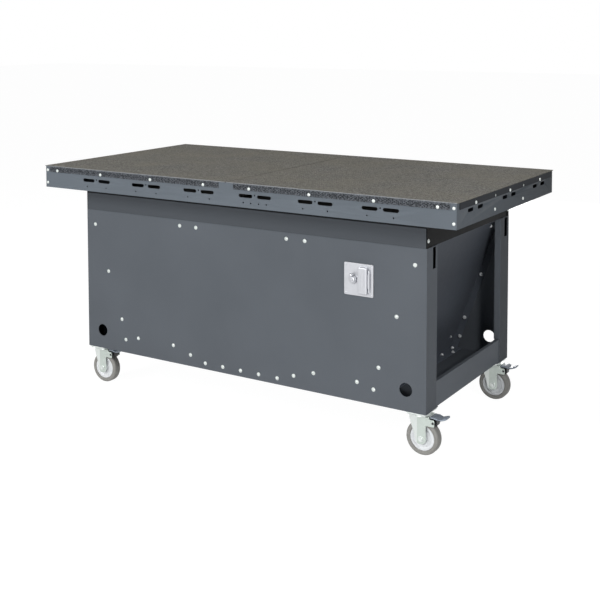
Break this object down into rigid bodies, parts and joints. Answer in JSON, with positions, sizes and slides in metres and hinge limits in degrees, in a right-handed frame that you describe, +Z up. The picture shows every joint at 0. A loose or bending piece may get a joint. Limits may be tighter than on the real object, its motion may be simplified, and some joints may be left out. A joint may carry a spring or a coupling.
{
  "type": "downdraft work table",
  "caption": "Work table on braked casters with a perforated top that draws dust down through filters into a sloped hopper, a built-in blower and open end bays.",
  "frame": {"origin": "on the floor under the middle of the table", "axes": "+X along the length to the end nearer the switch, +Y from the front with the switch to the rear, +Z up"},
  "size_m": [1.8596, 0.9706, 0.93],
  "materials": {
    "rim_paint": "satin powder coat",
    "body_paint": "satin powder coat",
    "top_paint": "worn powder coat",
    "inner_paint": "satin powder coat",
    "filter_media": "pleated",
    "galvanised": "galvanised",
    "motor_paint": "semi-gloss",
    "cover_metal": "cast, satin",
    "zinc": "zinc plated",
    "white_moulding": "moulded",
    "pedal_moulding": "moulded",
    "tyre": "moulded tread"
  },
  "bodies": {
    "table": {"rim_front": "rim_paint", "rim_rear": "rim_paint", "rim_left": "rim_paint", "rim_right": "rim_paint", "grate_left": "top_paint", "grate_right": "top_paint", "collar_front": "body_paint", "collar_rear": "body_paint", "collar_left": "body_paint", "collar_right": "body_paint", "front_panel": "body_paint", "rear_panel": "body_paint", "front_post_left": "body_paint", "front_post_right": "body_paint", "rear_post_left": "body_paint", "rear_post_right": "body_paint", "base_pan_left": "body_paint", "base_pan_right": "body_paint", "support_beam_front": "inner_paint", "support_beam_rear": "inner_paint", "hopper_end_left": "inner_paint", "hopper_end_right": "inner_paint", "hopper_floor_left": "inner_paint", "hopper_floor_right": "inner_paint", "sump_pan": "inner_paint", "cross_beam_left": "inner_paint", "cross_beam_right": "inner_paint", "filter_left": "filter_media", "filter_middle": "filter_media", "filter_right": "filter_media", "blower_base": "galvanised", "blower_housing": "galvanised", "blower_duct": "galvanised", "electrical_box": "galvanised", "blower_motor": "motor_paint", "cover_plate": "cover_metal", "caster_fl_plate": "zinc", "caster_fr_plate": "zinc", "caster_rl_plate": "zinc", "caster_rr_plate": "zinc", "socket": "white_moulding"},
    "switch_lever": {"switch_lever": "cover_metal"},
    "socket_lid": {"socket_lid": "cover_metal"},
    "blower_rotor": {"impeller": "galvanised"},
    "caster_fl_fork": {"caster_fl_fork": "zinc"},
    "caster_fl_wheel": {"caster_fl_wheel_centre": "white_moulding", "caster_fl_tyre": "tyre"},
    "caster_fl_brake": {"caster_fl_brake": "pedal_moulding"},
    "caster_fr_fork": {"caster_fr_fork": "zinc"},
    "caster_fr_wheel": {"caster_fr_wheel_centre": "white_moulding", "caster_fr_tyre": "tyre"},
    "caster_fr_brake": {"caster_fr_brake": "pedal_moulding"},
    "caster_rl_fork": {"caster_rl_fork": "zinc"},
    "caster_rl_wheel": {"caster_rl_wheel_centre": "white_moulding", "caster_rl_tyre": "tyre"},
    "caster_rl_brake": {"caster_rl_brake": "pedal_moulding"},
    "caster_rr_fork": {"caster_rr_fork": "zinc"},
    "caster_rr_wheel": {"caster_rr_wheel_centre": "white_moulding", "caster_rr_tyre": "tyre"},
    "caster_rr_brake": {"caster_rr_brake": "pedal_moulding"}
  },
  "joints": [
    {"name": "switch_turn", "type": "hinge", "parent": "table", "child": "switch_lever", "pos_m": [0.4955, -0.41, 0.6059], "axis": [0, 1, 0], "range_deg": [0, 60]},
    {"name": "lid_hinge", "type": "hinge", "parent": "table", "child": "socket_lid", "pos_m": [0.5611, -0.4009, 0.6059], "axis": [0, 0, 1], "range_deg": [0, 110]},
    {"name": "rotor_spin", "type": "hinge", "parent": "table", "child": "blower_rotor", "pos_m": [0, 0.06, 0.4863], "axis": [1, 0, 0], "continuous": true},
    {"name": "caster_fl_swivel", "type": "hinge", "parent": "table", "child": "caster_fl_fork", "pos_m": [-0.7395, -0.34, 0.15], "axis": [0, 0, 1], "continuous": true},
    {"name": "caster_fl_roll", "type": "hinge", "parent": "caster_fl_fork", "child": "caster_fl_wheel", "pos_m": [-0.7295, -0.34, 0.0625], "axis": [0, 1, 0], "continuous": true},
    {"name": "caster_fl_brake_press", "type": "hinge", "parent": "caster_fl_fork", "child": "caster_fl_brake", "pos_m": [-0.6845, -0.34, 0.126], "axis": [0, 1, 0], "range_deg": [0, 8]},
    {"name": "caster_fr_swivel", "type": "hinge", "parent": "table", "child": "caster_fr_fork", "pos_m": [0.7395, -0.34, 0.15], "axis": [0, 0, 1], "continuous": true},
    {"name": "caster_fr_roll", "type": "hinge", "parent": "caster_fr_fork", "child": "caster_fr_wheel", "pos_m": [0.7495, -0.34, 0.0625], "axis": [0, 1, 0], "continuous": true},
    {"name": "caster_fr_brake_press", "type": "hinge", "parent": "caster_fr_fork", "child": "caster_fr_brake", "pos_m": [0.7945, -0.34, 0.126], "axis": [0, 1, 0], "range_deg": [0, 8]},
    {"name": "caster_rl_swivel", "type": "hinge", "parent": "table", "child": "caster_rl_fork", "pos_m": [-0.7395, 0.34, 0.15], "axis": [0, 0, 1], "continuous": true},
    {"name": "caster_rl_roll", "type": "hinge", "parent": "caster_rl_fork", "child": "caster_rl_wheel", "pos_m": [-0.7295, 0.34, 0.0625], "axis": [0, 1, 0], "continuous": true},
    {"name": "caster_rl_brake_press", "type": "hinge", "parent": "caster_rl_fork", "child": "caster_rl_brake", "pos_m": [-0.6845, 0.34, 0.126], "axis": [0, 1, 0], "range_deg": [0, 8]},
    {"name": "caster_rr_swivel", "type": "hinge", "parent": "table", "child": "caster_rr_fork", "pos_m": [0.7395, 0.34, 0.15], "axis": [0, 0, 1], "continuous": true},
    {"name": "caster_rr_roll", "type": "hinge", "parent": "caster_rr_fork", "child": "caster_rr_wheel", "pos_m": [0.7495, 0.34, 0.0625], "axis": [0, 1, 0], "continuous": true},
    {"name": "caster_rr_brake_press", "type": "hinge", "parent": "caster_rr_fork", "child": "caster_rr_brake", "pos_m": [0.7945, 0.34, 0.126], "axis": [0, 1, 0], "range_deg": [0, 8]}
  ]
}
